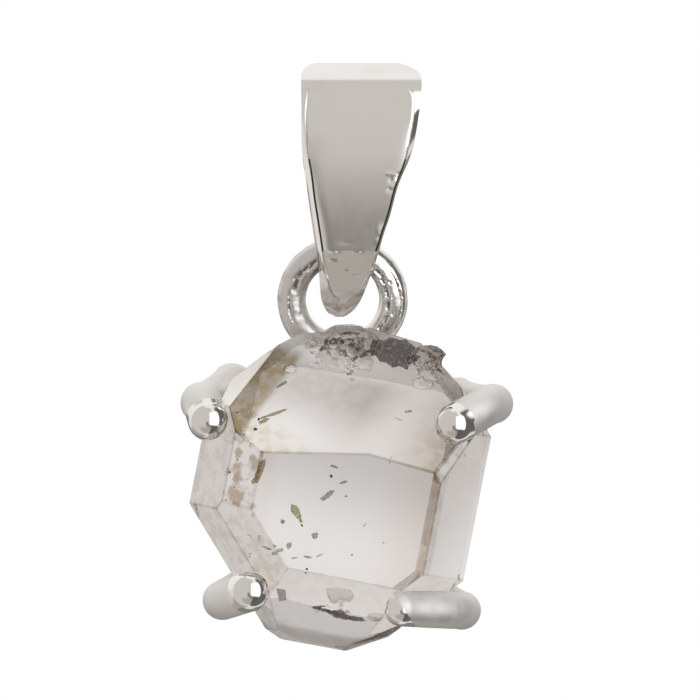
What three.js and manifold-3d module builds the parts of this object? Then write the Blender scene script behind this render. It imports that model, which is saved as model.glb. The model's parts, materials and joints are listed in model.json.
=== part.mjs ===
// A Herkimer diamond (doubly terminated quartz) held by four claws in a silver pendant setting.
// Millimetres, +Z up, the front faces -Y. The origin is the chain seat, inside the top of the bail.

import * as THREE from "three";
import { ConvexGeometry } from "three/addons/geometries/ConvexGeometry.js";
import { mergeVertices } from "three/addons/utils/BufferGeometryUtils.js";
import Module from "manifold-3d";

const wasm = await Module();
wasm.setup();

const DEG = Math.PI / 180;

// ---------------------------------------------------------------- driving dimensions

const SOLDER_GAP = 0.03;            // clearance left where two pieces touch or are soldered

// Crystal, in the setting's frame: its centre is the frame's origin
const CRYSTAL_LEAN = 11;            // degrees that the c-axis leans, top to the right
const FRONT_DEPTH = 2.85;           // front prism face ahead of the widest edges
const BACK_DEPTH = 3.4;             // back prism face behind the widest edges
const RIGHT_PRISM = 4.75;           // distance of the two right prism faces from the c-axis
const LEFT_PRISM = 5.09;            // distance of the two left prism faces
const CHIP_DEPTH = 0.2;             // depth of a chip as a share of half its width

// Angles between quartz faces, in degrees above the prism zone
const RHOMB_RISE = 38.2;            // rhombohedral faces of the two terminations
const PYRAMID_RISE = 24.4;          // small trigonal pyramid faces between prism and rhombohedron
const STEEP_RISE = 14.6;            // steep rhombohedral face low on the upper left

// Hanging loop: a ring of round wire soldered upright on the back frame
const LOOP_RADIUS = 2.05;
const LOOP_WIRE = 0.6;
const LOOP_CENTRE = new THREE.Vector3(0.02, 2.12, 7.52);
const LOOP_TILT = 16 * DEG;         // the loop's top leans forward over the stone's weight

// Back frame: a wire bent to the outline of the stone, just behind it
const FRAME_DEPTH = 2.72;
const FRAME_WIRE = 0.4;
const FRAME_ROUND = 0.9;            // share of the wire's radius that is rounded
const FRAME_CORNER = 1.2;
const FRAME_ROOM = 0.15;            // extra room where the rounded corners cut inside

// Claws: round wire that comes from the back frame, round the edge and over the front
const CLAW_WIRE = 0.78;
const CLAW_TIP = 0.82;              // radius of the ball at the claw's end
const CLAW_SEATING = 0.8;           // share of that radius by which the ball's centre clears the stone
const CLAW_RISE = 1.1;              // the wire runs this far forward of the frame before it bends
const CLAW_BEND = 0.4;              // depth of the front bend, as a share of the tip's depth

// Bail: a tapered plate loop. Heights count from the loop's wire that it holds
const BAIL_TOP = 7.52;
const BAIL_BEND = 6.4;              // height at which the plates turn into the bend
const BAIL_HALF_DEPTH = 2.2;        // at the bend
const BAIL_WALL = 0.6;
const CREASE_HALF_DEPTH = 1.8;      // at the height of the loop's wire, where the plates turn in
const CHIN_HEIGHT = -2.0;
const CHIN_HALF_DEPTH = 0.8;
const BAIL_TIP = -2.68;
const TIP_HALF_DEPTH = 0.42;        // flat under the tip before it rounds up to the chin
const EYE_RADIUS = 1.25;            // rounded bottom of the opening, which the loop's wire rides in
const EYE_HEIGHT = 0.02;
const BAIL_EDGE = 0.15;             // rounding of the plates' edges
const PLATE_DOME = 0.08;            // the plates bow outwards a little along their length
const BAIL_SECTIONS = [             // height, sideways centre from the loop's centre, full width
  [-2.68, -0.2, 0.5], [-2.4, -0.14, 0.96], [-1.96, -0.06, 1.4], [-1.2, 0.08, 1.92],
  [-0.52, 0.17, 2.3], [0.64, 0.24, 2.83], [1.36, 0.31, 3.18], [2.64, 0.4, 3.7],
  [3.96, 0.58, 4.4], [5.96, 0.74, 4.77], [6.92, 0.75, 4.82], [7.28, 0.68, 4.4], [7.52, 0.55, 3.52],
];

const SEAT_HEIGHT = BAIL_TOP - BAIL_WALL;

// Fineness of the curved surfaces
const BEND_STEPS = 34;
const EYE_STEPS = 26;
const LOOP_STEPS = 48;
const LOOP_SIDES = 14;
const CLAW_STEPS = 16;
const CLAW_SIDES = 6;               // for each half turn of the wire
const FRAME_STEPS = 6;
const BEVEL_STEPS = 3;
const CHIP_DETAIL = 2;

// ---------------------------------------------------------------- helpers

function toSolid(geometry) {
  const bare = geometry.clone();
  bare.deleteAttribute("normal");
  bare.deleteAttribute("uv");
  const merged = mergeVertices(bare, 1e-5);
  const vertProperties = new Float32Array(merged.attributes.position.array);
  const triVerts = new Uint32Array(merged.index.array);
  return new wasm.Manifold(new wasm.Mesh({ numProp: 3, vertProperties, triVerts }));
}

function toGeometry(solid) {
  const mesh = solid.getMesh();
  const geometry = new THREE.BufferGeometry();
  geometry.setAttribute("position", new THREE.BufferAttribute(mesh.vertProperties, 3));
  geometry.setIndex(new THREE.BufferAttribute(mesh.triVerts, 1));
  geometry.computeVertexNormals();
  return geometry;
}

function sweepWire(curve, radius) {
  const section = new THREE.Shape();
  section.absarc(0, 0, radius, 0, 2 * Math.PI);
  return new THREE.ExtrudeGeometry(section, {
    steps: CLAW_STEPS, curveSegments: CLAW_SIDES, extrudePath: curve,
  });
}

// Value of one column of a table, between the rows on either side of a station
function interpolate(table, at, column) {
  const next = table.findIndex(([station]) => station >= at);
  if (next <= 0) {
    return next === 0 ? table[0][column] : table.at(-1)[column];
  }
  const before = table[next - 1];
  const after = table[next];
  return THREE.MathUtils.mapLinear(at, before[0], after[0], before[column], after[column]);
}

// ---------------------------------------------------------------- crystal

// A face's outward normal: azimuth is measured from the front towards +X, rise above the prism zone
function faceNormal(azimuth, rise) {
  const normal = new THREE.Vector3(
    Math.sin(azimuth) * Math.cos(rise), -Math.cos(azimuth) * Math.cos(rise), Math.sin(rise));
  return normal.applyAxisAngle(new THREE.Vector3(0, 1, 0), CRYSTAL_LEAN * DEG);
}

// [azimuth in degrees, rise in degrees, distance from the crystal's centre]
const CRYSTAL_FACES = [
  [0, 0, FRONT_DEPTH],
  [60, 0, RIGHT_PRISM],
  [120, 0, RIGHT_PRISM],
  [180, 0, BACK_DEPTH],
  [-120, 0, LEFT_PRISM],
  [-60, 0, LEFT_PRISM],
  [-28, 0, 4.11],                   // rough, stained band down the front's left edge
  // upper end
  [-7.5, 37, 3.085],                // the front termination is two faces, a little apart in slope
  [3.7, 38.5, 3.21],
  [60, RHOMB_RISE, 5.66],
  [120, RHOMB_RISE, 5.66],
  [180, RHOMB_RISE, 4.82],
  [-120, RHOMB_RISE, 5.78],
  [-60, RHOMB_RISE, 5.42],
  [-30, 42, 4.5],                   // stained band between the front and left faces
  [30, PYRAMID_RISE, 4.38],
  [-90, STEEP_RISE, 5.86],
  [-96, 74, 6.28],                  // worn left end of the ridge
  [84, 84, 6.42],                   // worn top of the ridge
  [62, 58, 5.98],
  // lower end
  [0, -RHOMB_RISE, 4.45],
  [60, -RHOMB_RISE, 5.45],
  [120, -RHOMB_RISE, 5.45],
  [180, -RHOMB_RISE, 4.9],
  [-120, -RHOMB_RISE, 5.15],
  [-60, -RHOMB_RISE, 5.1],
  [-30, -PYRAMID_RISE, 4.42],
  [70, -64, 6.2],
  [-50, -72, 6.3],
  [10, -86, 6.38],                  // blunt lower end
].map(([azimuth, rise, distance]) =>
  new THREE.Plane(faceNormal(azimuth * DEG, rise * DEG), -distance));

function crossing(a, b, c) {
  const rows = new THREE.Matrix3().set(...a.normal, ...b.normal, ...c.normal);
  if (Math.abs(rows.determinant()) < 1e-4) {
    return null;
  }
  return new THREE.Vector3(-a.constant, -b.constant, -c.constant).applyMatrix3(rows.invert());
}

// The body bounded by the crystal's faces, each moved outwards by grow
function crystalBody(grow) {
  const faces = CRYSTAL_FACES.map((face) => new THREE.Plane(face.normal, face.constant - grow));
  const corners = [];
  for (let i = 0; i < faces.length; i += 1) {
    for (let j = i + 1; j < faces.length; j += 1) {
      for (let k = j + 1; k < faces.length; k += 1) {
        const corner = crossing(faces[i], faces[j], faces[k]);
        if (!corner || faces.some((face) => face.distanceToPoint(corner) > 1e-6)) {
          continue;
        }
        if (!corners.some((other) => other.distanceTo(corner) < 1e-4)) {
          corners.push(corner);
        }
      }
    }
  }
  return new ConvexGeometry(corners);
}

// Depth at which a ball of this radius, centred over (x, z), rests against the front of the stone
function restingDepth(x, z, radius) {
  const depths = CRYSTAL_FACES.filter((face) => face.normal.y < -0.1).map((face) =>
    (radius - face.constant - face.normal.x * x - face.normal.z * z) / face.normal.y);
  return Math.max(...depths);
}

// Small crystals grown parallel to the main one on its upper ridge: centre, then scale
const GROWTHS = [
  { centre: [0.08, 0.6, 5.56], scale: [0.15, 0.24, 0.152] },
  { centre: [-0.62, 0.75, 5.5], scale: [0.1, 0.2, 0.115] },
  { centre: [3.52, 0.42, 5.2], scale: [0.1, 0.16, 0.095] },
];

// Shallow shell-shaped chips in the front faces: x, z and width
const CHIPS = [
  [-0.45, 5.5, 0.8], [0.45, 5.2, 0.7], [0.95, 5.6, 0.8], [-0.15, 4.8, 0.5], [2.2, 5.32, 1.7],
  [-2.05, 5.25, 0.9], [3.35, 4.75, 0.8], [-3.95, 2.2, 0.8], [-4.3, -1.9, 0.9], [4.02, 0.5, 0.6],
  [3.35, -3.6, 0.7], [-1.7, -4.6, 0.6], [-0.2, -4.9, 1.1], [1.3, -5.55, 0.9], [-3.3, -2.6, 0.6],
];

function growth({ centre, scale }) {
  const geometry = crystalBody(0);
  geometry.scale(...scale);
  geometry.translate(...centre);
  return toSolid(geometry);
}

function chip([x, z, width]) {
  const depth = CHIP_DEPTH * width / 2;
  const radius = ((width / 2) ** 2 + depth ** 2) / (2 * depth);
  const geometry = new THREE.IcosahedronGeometry(radius, CHIP_DETAIL);
  geometry.translate(x, restingDepth(x, z, radius - depth), z);
  return toSolid(geometry);
}

function crystal() {
  let body = toSolid(crystalBody(0));
  for (const place of GROWTHS) {
    body = body.add(growth(place));
  }
  for (const place of CHIPS) {
    body = body.subtract(chip(place));
  }
  return body;
}

// ---------------------------------------------------------------- back frame

// Sides of the stone's section at the frame's depth, moved out to the middle of the wire and by grow
function frameSides(grow) {
  return CRYSTAL_FACES.filter((face) => face.normal.y > 0.1 && face.normal.y < 0.9)
    .map(({ normal, constant }) => {
      const across = Math.hypot(normal.x, normal.z);
      const reach = FRAME_WIRE + SOLDER_GAP - constant - normal.y * FRAME_DEPTH;
      return { x: normal.x / across, z: normal.z / across, reach: reach / across + grow + FRAME_ROOM };
    })
    .sort((a, b) => Math.atan2(a.z, a.x) - Math.atan2(b.z, b.x));
}

// Distance from the crystal's centre to the frame's wire, at an angle from +X towards +Z
function frameRadius(angle) {
  const distances = frameSides(0)
    .map(({ x, z, reach }) => ({ facing: x * Math.cos(angle) + z * Math.sin(angle), reach }))
    .filter(({ facing }) => facing > 0)
    .map(({ facing, reach }) => reach / facing);
  return Math.min(...distances);
}

function frameOutline(PathType, grow) {
  const sides = frameSides(grow);
  const corners = sides.map((side, i) => {
    const next = sides[(i + 1) % sides.length];
    const turn = side.x * next.z - side.z * next.x;
    return new THREE.Vector2(
      (side.reach * next.z - next.reach * side.z) / turn,
      (next.reach * side.x - side.reach * next.x) / turn);
  });
  const path = new PathType();
  corners.forEach((corner, i) => {
    const before = corners.at(i - 1);
    const after = corners[(i + 1) % corners.length];
    const start = corner.clone().lerp(before, FRAME_CORNER / corner.distanceTo(before));
    const end = corner.clone().lerp(after, FRAME_CORNER / corner.distanceTo(after));
    if (i === 0) {
      path.moveTo(start.x, start.y);
    } else {
      path.lineTo(start.x, start.y);
    }
    path.quadraticCurveTo(corner.x, corner.y, end.x, end.y);
  });
  path.closePath();
  return path;
}

function backFrame(grow) {
  const wire = FRAME_WIRE + grow;
  const round = wire * FRAME_ROUND;
  const outline = frameOutline(THREE.Shape, wire - round);
  outline.holes.push(frameOutline(THREE.Path, round - wire));
  const geometry = new THREE.ExtrudeGeometry(outline, {
    depth: 2 * (wire - round),
    curveSegments: FRAME_STEPS,
    bevelThickness: round,
    bevelSize: round,
    bevelSegments: BEVEL_STEPS,
  });
  geometry.translate(0, 0, round - wire);
  geometry.rotateX(Math.PI / 2);
  geometry.translate(0, FRAME_DEPTH, 0);
  return toSolid(geometry);
}

// What the loop and the claws are cut back by: the stone and the frame with the gap round them
const keptClear = toSolid(crystalBody(SOLDER_GAP)).add(backFrame(SOLDER_GAP));

// ---------------------------------------------------------------- hanging loop

function hangingLoop() {
  const geometry = new THREE.TorusGeometry(LOOP_RADIUS, LOOP_WIRE, LOOP_SIDES, LOOP_STEPS);
  geometry.rotateX(Math.PI / 2 + LOOP_TILT);
  geometry.translate(...LOOP_CENTRE);
  return toSolid(geometry).subtract(keptClear);
}

// ---------------------------------------------------------------- claws

// root: angle on the frame; shoulder: where the claw rounds the stone's edge; tip: its ball
const CLAWS = [
  { name: "claw_top_left", root: 138 * DEG, shoulder: [-5.58, 3.36], tip: [-5.34, 2.68] },
  { name: "claw_top_right", root: 36 * DEG, shoulder: [5.88, 3.28], tip: [4.48, 2.52] },
  { name: "claw_bottom_left", root: 227 * DEG, shoulder: [-4.64, -4.48], tip: [-3.68, -4.12] },
  { name: "claw_bottom_right", root: 309 * DEG, shoulder: [4.56, -4.9], tip: [2.32, -4.72] },
];

function claw({ root, shoulder, tip }) {
  const tipDepth = restingDepth(...tip, CLAW_TIP * CLAW_SEATING);
  const end = new THREE.Vector3(tip[0], tipDepth, tip[1]);
  const start = frameRadius(root) + FRAME_WIRE / 2;
  const curve = new THREE.CatmullRomCurve3([
    new THREE.Vector3(start * Math.cos(root), FRAME_DEPTH, start * Math.sin(root)),
    new THREE.Vector3(shoulder[0], FRAME_DEPTH - CLAW_RISE, shoulder[1]),
    new THREE.Vector3(shoulder[0], tipDepth * CLAW_BEND, shoulder[1]),
    end,
  ], false, "centripetal");
  const ball = new THREE.SphereGeometry(CLAW_TIP, 2 * CLAW_SIDES, CLAW_SIDES);
  ball.translate(...end);
  return toSolid(sweepWire(curve, CLAW_WIRE)).add(toSolid(ball)).subtract(keptClear);
}

// ---------------------------------------------------------------- bail

// A plate's line from one point to the next, very slightly domed to its left
function domed(from, to) {
  const side = new THREE.Vector2(from.y - to.y, to.x - from.x).setLength(PLATE_DOME);
  return new THREE.QuadraticBezierCurve(from, from.clone().lerp(to, 0.5).add(side), to);
}

// A quarter of the bend, from the top of a plate up to the middle
function bend(halfDepth, height) {
  return new THREE.EllipseCurve(0, BAIL_BEND, halfDepth, height, Math.PI, Math.PI / 2, true);
}

// Front half of the side outline: tip, chin, crease and bend
function bailOutline() {
  const front = new THREE.CurvePath();
  const chin = new THREE.Vector2(-CHIN_HALF_DEPTH, CHIN_HEIGHT);
  const crease = new THREE.Vector2(-CREASE_HALF_DEPTH, 0);
  const shoulder = new THREE.Vector2(-BAIL_HALF_DEPTH, BAIL_BEND);
  front.add(new THREE.QuadraticBezierCurve(
    new THREE.Vector2(0, BAIL_TIP), new THREE.Vector2(-TIP_HALF_DEPTH, BAIL_TIP), chin));
  front.add(domed(chin, crease));
  front.add(domed(crease, shoulder));
  front.add(bend(BAIL_HALF_DEPTH, BAIL_TOP - BAIL_BEND));
  return front.getSpacedPoints(BEND_STEPS);
}

function eyeOutline() {
  const front = new THREE.CurvePath();
  const innerDepth = BAIL_HALF_DEPTH - BAIL_WALL;
  front.add(new THREE.EllipseCurve(
    0, EYE_HEIGHT, EYE_RADIUS, EYE_RADIUS, -Math.PI / 2, -Math.PI, true));
  front.add(domed(
    new THREE.Vector2(-EYE_RADIUS, EYE_HEIGHT), new THREE.Vector2(-innerDepth, BAIL_BEND)));
  front.add(bend(innerDepth, SEAT_HEIGHT - BAIL_BEND));
  return front.getSpacedPoints(EYE_STEPS);
}

// Closes a front half with its mirror image, anticlockwise
function mirrored(front) {
  const back = front.slice(1, -1).map((point) => new THREE.Vector2(-point.x, point.y));
  return [...back, ...front.reverse()];
}

// The side outline is extruded across, then each height gets its own width and sideways centre
function bail() {
  const outline = new THREE.Shape(mirrored(bailOutline()));
  outline.holes.push(new THREE.Path(mirrored(eyeOutline())));
  const blankWidth = Math.max(...BAIL_SECTIONS.map(([, , width]) => width));
  const geometry = new THREE.ExtrudeGeometry(outline, {
    depth: blankWidth - 2 * BAIL_EDGE,
    steps: 2,
    bevelThickness: BAIL_EDGE,
    bevelSize: BAIL_EDGE,
    bevelOffset: -BAIL_EDGE,
    bevelSegments: BEVEL_STEPS,
  });
  geometry.translate(0, 0, BAIL_EDGE - blankWidth / 2);
  const position = geometry.attributes.position;
  for (let i = 0; i < position.count; i += 1) {
    const height = position.getY(i);
    const centre = interpolate(BAIL_SECTIONS, height, 1);
    const width = interpolate(BAIL_SECTIONS, height, 2);
    const across = centre + position.getZ(i) * width / blankWidth;
    position.setXYZ(i, across, position.getX(i), height);
  }
  return toSolid(geometry);
}

// ---------------------------------------------------------------- assembly

const silver = { color: 0xd9d4cc, roughness: 0.12, metalness: 1 };
const quartz = { color: 0xe4e1dc, roughness: 0.04, metalness: 0, transparent: true, opacity: 0.45 };

function namedMesh(name, solid, look) {
  const mesh = new THREE.Mesh(toGeometry(solid), new THREE.MeshStandardMaterial(look));
  mesh.name = name;
  return mesh;
}

// Middle of the chain seat, from the middle of the loop's wire below it
const seatAboveWire = new THREE.Vector3(
  interpolate(BAIL_SECTIONS, SEAT_HEIGHT, 1), 0, SEAT_HEIGHT);
const bailMesh = namedMesh("bail", bail(), silver);
bailMesh.position.copy(seatAboveWire).negate();

// Top of the loop's wire, from the crystal's centre
const wireAboveCrystal = new THREE.Vector3(0, 0, LOOP_RADIUS)
  .applyAxisAngle(new THREE.Vector3(1, 0, 0), LOOP_TILT)
  .add(LOOP_CENTRE);

const setting = new THREE.Group();
setting.position.copy(wireAboveCrystal).add(seatAboveWire).negate();
setting.add(namedMesh("crystal", crystal(), quartz));
setting.add(namedMesh("back_frame", backFrame(0), silver));
setting.add(namedMesh("hanging_loop", hangingLoop(), silver));
for (const shape of CLAWS) {
  setting.add(namedMesh(shape.name, claw(shape), silver));
}

const pendant = new THREE.Group();
pendant.add(bailMesh, setting);

export default pendant;
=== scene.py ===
"""The looks of a Herkimer diamond pendant: a quartz crystal in a claw setting that swings on a bail."""

import json
import math
import random

import bmesh
import bpy
from mathutils import Matrix, Vector, noise


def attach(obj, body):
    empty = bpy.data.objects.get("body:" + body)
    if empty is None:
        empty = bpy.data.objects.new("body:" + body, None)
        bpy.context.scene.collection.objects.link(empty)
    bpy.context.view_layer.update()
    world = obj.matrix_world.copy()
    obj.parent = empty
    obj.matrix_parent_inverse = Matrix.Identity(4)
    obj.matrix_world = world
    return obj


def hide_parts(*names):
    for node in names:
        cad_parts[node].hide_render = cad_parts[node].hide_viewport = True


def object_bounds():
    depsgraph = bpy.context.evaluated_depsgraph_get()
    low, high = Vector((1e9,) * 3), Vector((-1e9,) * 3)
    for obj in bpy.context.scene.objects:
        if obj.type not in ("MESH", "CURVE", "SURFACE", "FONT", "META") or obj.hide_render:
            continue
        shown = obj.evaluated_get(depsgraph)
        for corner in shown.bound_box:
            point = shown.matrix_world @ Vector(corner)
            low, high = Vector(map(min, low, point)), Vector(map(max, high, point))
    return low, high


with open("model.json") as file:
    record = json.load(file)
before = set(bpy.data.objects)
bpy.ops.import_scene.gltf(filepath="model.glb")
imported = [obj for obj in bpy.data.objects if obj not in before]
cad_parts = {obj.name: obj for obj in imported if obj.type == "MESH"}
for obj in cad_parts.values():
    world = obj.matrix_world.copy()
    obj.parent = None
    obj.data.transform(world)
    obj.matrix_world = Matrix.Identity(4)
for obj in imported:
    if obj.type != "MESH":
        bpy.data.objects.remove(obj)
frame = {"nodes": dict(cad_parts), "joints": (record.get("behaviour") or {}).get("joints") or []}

cad_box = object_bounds()

MM = 0.001
SEED = 11
random.seed(SEED)

# ---- driving dimensions, in millimetres

SOLDER_GAP = 0.03  # left where two pieces touch or are soldered

CRYSTAL_LEAN = 11.0  # degrees that the c-axis leans, top to the right
FRONT_DEPTH = 2.85
BACK_DEPTH = 3.4
RIGHT_PRISM = 4.75
LEFT_PRISM = 5.09
RHOMB_RISE = 38.2
PYRAMID_RISE = 24.4
STEEP_RISE = 14.6

# Azimuth from the front towards +X, rise above the prism zone, distance from the crystal's centre
CRYSTAL_FACES = {
    "front": (0, 0, FRONT_DEPTH),
    "right": (60, 0, RIGHT_PRISM),
    "back_right": (120, 0, RIGHT_PRISM),
    "back": (180, 0, BACK_DEPTH),
    "back_left": (-120, 0, LEFT_PRISM),
    "left": (-60, 0, LEFT_PRISM),
    "stained_band": (-28, 0, 4.11),
    "upper_front_left": (-7.5, 37, 3.085),
    "upper_front_right": (3.7, 38.5, 3.21),
    "upper_right": (60, RHOMB_RISE, 5.66),
    "upper_back_right": (120, RHOMB_RISE, 5.66),
    "upper_back": (180, RHOMB_RISE, 4.82),
    "upper_back_left": (-120, RHOMB_RISE, 5.78),
    "upper_left": (-60, RHOMB_RISE, 5.42),
    "upper_stained_band": (-30, 42, 4.5),
    "upper_pyramid": (30, PYRAMID_RISE, 4.38),
    "steep_left": (-90, STEEP_RISE, 5.86),
    "ridge_left": (-96, 74, 6.28),
    "ridge_top": (84, 84, 6.42),
    "ridge_right": (62, 58, 5.98),
    "lower_front": (0, -RHOMB_RISE, 4.45),
    "lower_right": (60, -RHOMB_RISE, 5.45),
    "lower_back_right": (120, -RHOMB_RISE, 5.45),
    "lower_back": (180, -RHOMB_RISE, 4.9),
    "lower_back_left": (-120, -RHOMB_RISE, 5.15),
    "lower_left": (-60, -RHOMB_RISE, 5.1),
    "lower_pyramid": (-30, -PYRAMID_RISE, 4.42),
    "blunt_right": (70, -64, 6.2),
    "blunt_left": (-50, -72, 6.3),
    "blunt_end": (10, -86, 6.38),
}

LOOP_RADIUS = 2.05
LOOP_WIRE = 0.6
LOOP_CENTRE = Vector((0.02, 2.12, 7.52))
LOOP_TILT = math.radians(16)

# The loop's wire in the bail, and the crystal's centre, in the part's frame in metres
WIRE = Vector(frame["joints"][0]["pos_m"])
LOOP_TOP = LOOP_CENTRE + Matrix.Rotation(LOOP_TILT, 3, "X") @ Vector((0, 0, LOOP_RADIUS))
STONE = WIRE - LOOP_TOP * MM

# ---- camera and studio

VIEW_WIDTH = 28.0  # millimetres across the picture
LENS = 500.0
SENSOR = 36.0
VIEW_CENTRE = STONE + Vector((0.32, -0.5, 5.48)) * MM
FLOOR_DROP = 130.0
FLOOR_RADIUS = 3000.0
WHITE = (1, 1, 1)
DEGREES = 180 / math.pi  # in a radian
MIX_FIRST, MIX_SECOND, MIX_RESULT = 6, 7, 2  # where a mix node has its colour sockets


def new_object(name, data):
    thing = bpy.data.objects.new(name, data)
    bpy.context.scene.collection.objects.link(thing)
    return thing


def object_from(name, bm):
    """An object with the mesh that a bmesh holds, which is used up."""
    mesh = bpy.data.meshes.new(name)
    bm.to_mesh(mesh)
    bm.free()
    return new_object(name, mesh)


def make_camera():
    data = bpy.data.cameras.new("camera")
    data.lens = LENS
    data.sensor_width = SENSOR
    data.clip_start = 0.01
    data.clip_end = 10
    camera = new_object("camera", data)
    camera.location = VIEW_CENTRE - Vector((0, VIEW_WIDTH * LENS / SENSOR * MM, 0))
    camera.rotation_euler = (math.radians(90), 0, 0)
    bpy.context.scene.camera = camera


make_camera()
bpy.context.scene.view_settings.view_transform = "Standard"


def link(tree, source, target):
    tree.links.new(source, target)


def feed(tree, value, socket):
    """Links a socket to an input, or sets the input to a value."""
    if isinstance(value, bpy.types.NodeSocket):
        link(tree, value, socket)
    else:
        socket.default_value = (*value, 1) if socket.type == "RGBA" else value


def number(tree, operation, *inputs):
    """A math node; each input is a number or a socket."""
    node = tree.nodes.new("ShaderNodeMath")
    node.operation = operation
    for socket, value in zip(node.inputs, inputs):
        feed(tree, value, socket)
    return node.outputs[0]


def times(tree, first, second):
    return number(tree, "MULTIPLY", first, second)


def plus(tree, first, second):
    return number(tree, "ADD", first, second)


def step(tree, value, low, high, way="SMOOTHSTEP"):
    """Step of a socket from 0 at low to 1 at high."""
    node = tree.nodes.new("ShaderNodeMapRange")
    node.interpolation_type = way
    link(tree, value, node.inputs["Value"])
    node.inputs["From Min"].default_value = low
    node.inputs["From Max"].default_value = high
    return node.outputs["Result"]


def mix_colour(tree, factor, first, second, blend="MIX"):
    """A mix of two colours; each of them and the factor is a value or a socket."""
    node = tree.nodes.new("ShaderNodeMix")
    node.data_type = "RGBA"
    node.blend_type = blend
    feed(tree, factor, node.inputs["Factor"])
    feed(tree, first, node.inputs[MIX_FIRST])
    feed(tree, second, node.inputs[MIX_SECOND])
    return node.outputs[MIX_RESULT]


# Studio panels that the silver reflects: azimuth from the front towards +X, elevation, softness, colour
PANELS = [
    ((-106, 30), (-70, 75), 8, (0.60, 0.575, 0.55)),  # grey board on the left
    ((2, 112), (-85, -22), 6, (0.11, 0.105, 0.10)),  # dark room, low on the right
    ((58, 118), (-85, 62), 8, (0.13, 0.125, 0.12)),  # and beyond the window
    ((13, 64), (-25, 42), 8, (2.0, 2.0, 2.05)),  # window
    ((-200, -140), (-60, 5), 6, (0.22, 0.21, 0.20)),  # dark wall behind
    ((140, 200), (-60, 5), 6, (0.22, 0.21, 0.20)),
    ((-12, 3), (-34, -7.7), 3.2, (0.24, 0.225, 0.21)),  # camera
    ((-60, 20), (-80, -36), 10, (0.42, 0.39, 0.36)),  # table
    ((-144, -106), (-80, -20), 8, (0.38, 0.36, 0.34)),  # chair, low on the left
]

# Grey of the surroundings seen through the stone, by the sine of the elevation: at the sides and behind
SIDE_GREYS = [(-1.0, 0.90), (-0.8, 0.82), (-0.35, 0.80), (0.1, 0.84), (0.5, 0.80), (1.0, 0.90)]
BACK_GREYS = [(-1.0, 1.0), (-0.6, 0.9), (-0.28, 0.90), (0.0, 0.80), (0.25, 0.70), (1.0, 0.95)]
WARM_GREY = (1.0, 0.972, 0.955)

# The lower and upper part of the room that the silver reflects
ROOM_LOW = (0.74, 0.72, 0.70)
ROOM_HIGH = (0.90, 0.89, 0.88)


def directions(tree):
    """Y and Z of the direction looked in, and its azimuth and elevation in degrees."""
    place = tree.nodes.new("ShaderNodeTexCoord")
    split = tree.nodes.new("ShaderNodeSeparateXYZ")
    link(tree, place.outputs["Generated"], split.inputs[0])
    x, y, z = split.outputs
    azimuth = times(tree, number(tree, "ARCTAN2", x, times(tree, y, -1.0)), DEGREES)
    elevation = times(tree, number(tree, "ARCSINE", z), DEGREES)
    return y, z, azimuth, elevation


def add_panels(tree, colour, azimuth, elevation):
    for (left, right), (low, high), soft, glow in PANELS:
        inside = 1.0
        for angle, start, end in ((azimuth, left, right), (elevation, low, high)):
            inside = times(tree, inside, step(tree, angle, start - soft, start + soft))
            inside = times(tree, inside, step(tree, angle, end + soft, end - soft))
        colour = mix_colour(tree, inside, colour, glow)
    return colour


def ramp(tree, value, stops):
    """Warm grey that follows a socket through the stops."""
    node = tree.nodes.new("ShaderNodeValToRGB")
    low, high = stops[0][0], stops[-1][0]
    elements = node.color_ramp.elements
    while len(elements) < len(stops):
        elements.new(0.5)
    for element, (at, grey) in zip(elements, stops):
        element.position = (at - low) / (high - low)
        element.color = (*(grey * part for part in WARM_GREY), 1)
    link(tree, step(tree, value, low, high, "LINEAR"), node.inputs["Fac"])
    return node.outputs["Color"]


def make_world():
    world = bpy.data.worlds.new("studio")
    bpy.context.scene.world = world
    world.use_nodes = True
    tree = world.node_tree
    tree.nodes.clear()
    y, z, azimuth, elevation = directions(tree)
    room = mix_colour(tree, step(tree, z, low=-0.5, high=0.7), ROOM_LOW, ROOM_HIGH)
    room = add_panels(tree, room, azimuth, elevation)
    behind = step(tree, y, low=0.35, high=0.75)
    around = mix_colour(tree, behind, ramp(tree, z, SIDE_GREYS), ramp(tree, z, BACK_GREYS))
    path = tree.nodes.new("ShaderNodeLightPath")
    colour = mix_colour(tree, path.outputs["Is Transmission Ray"], room, around)
    colour = mix_colour(tree, path.outputs["Is Camera Ray"], colour, WHITE)
    back = tree.nodes.new("ShaderNodeBackground")
    out = tree.nodes.new("ShaderNodeOutputWorld")
    link(tree, colour, back.inputs["Color"])
    link(tree, back.outputs[0], out.inputs["Surface"])


make_world()


def new_material(name):
    material = bpy.data.materials.new(name)
    material.use_nodes = True
    tree = material.node_tree
    return material, tree, tree.nodes["Principled BSDF"]


def make_floor():
    bm = bmesh.new()
    bmesh.ops.create_circle(bm, cap_ends=True, radius=FLOOR_RADIUS * MM, segments=96)
    floor = object_from("floor", bm)
    floor.location.z = cad_box[0].z - FLOOR_DROP * MM
    floor.visible_glossy = False
    floor.visible_transmission = False
    material, _, shader = new_material("pale floor")
    shader.inputs["Base Color"].default_value = (0.9, 0.9, 0.9, 1)
    shader.inputs["Roughness"].default_value = 0.8
    floor.data.materials.append(material)


make_floor()

# ---- silver

SILVER = (0.93, 0.915, 0.89)
TARNISH = (0.66, 0.58, 0.50)
# Grey that the cover mixes in: a little soot, and painted shade where the cover is high
SOOT_AND_SHADE = (0.16, 0.14, 0.125)
EVEN_ROUGHNESS = 0.7  # share of the polish value that is roughness all over
SMEAR_ROUGHNESS = 0.6  # and in the smears
TARNISH_ROUGHNESS = 0.15
SCRATCH_DEPTH = 0.12  # of the waves' depth


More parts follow.
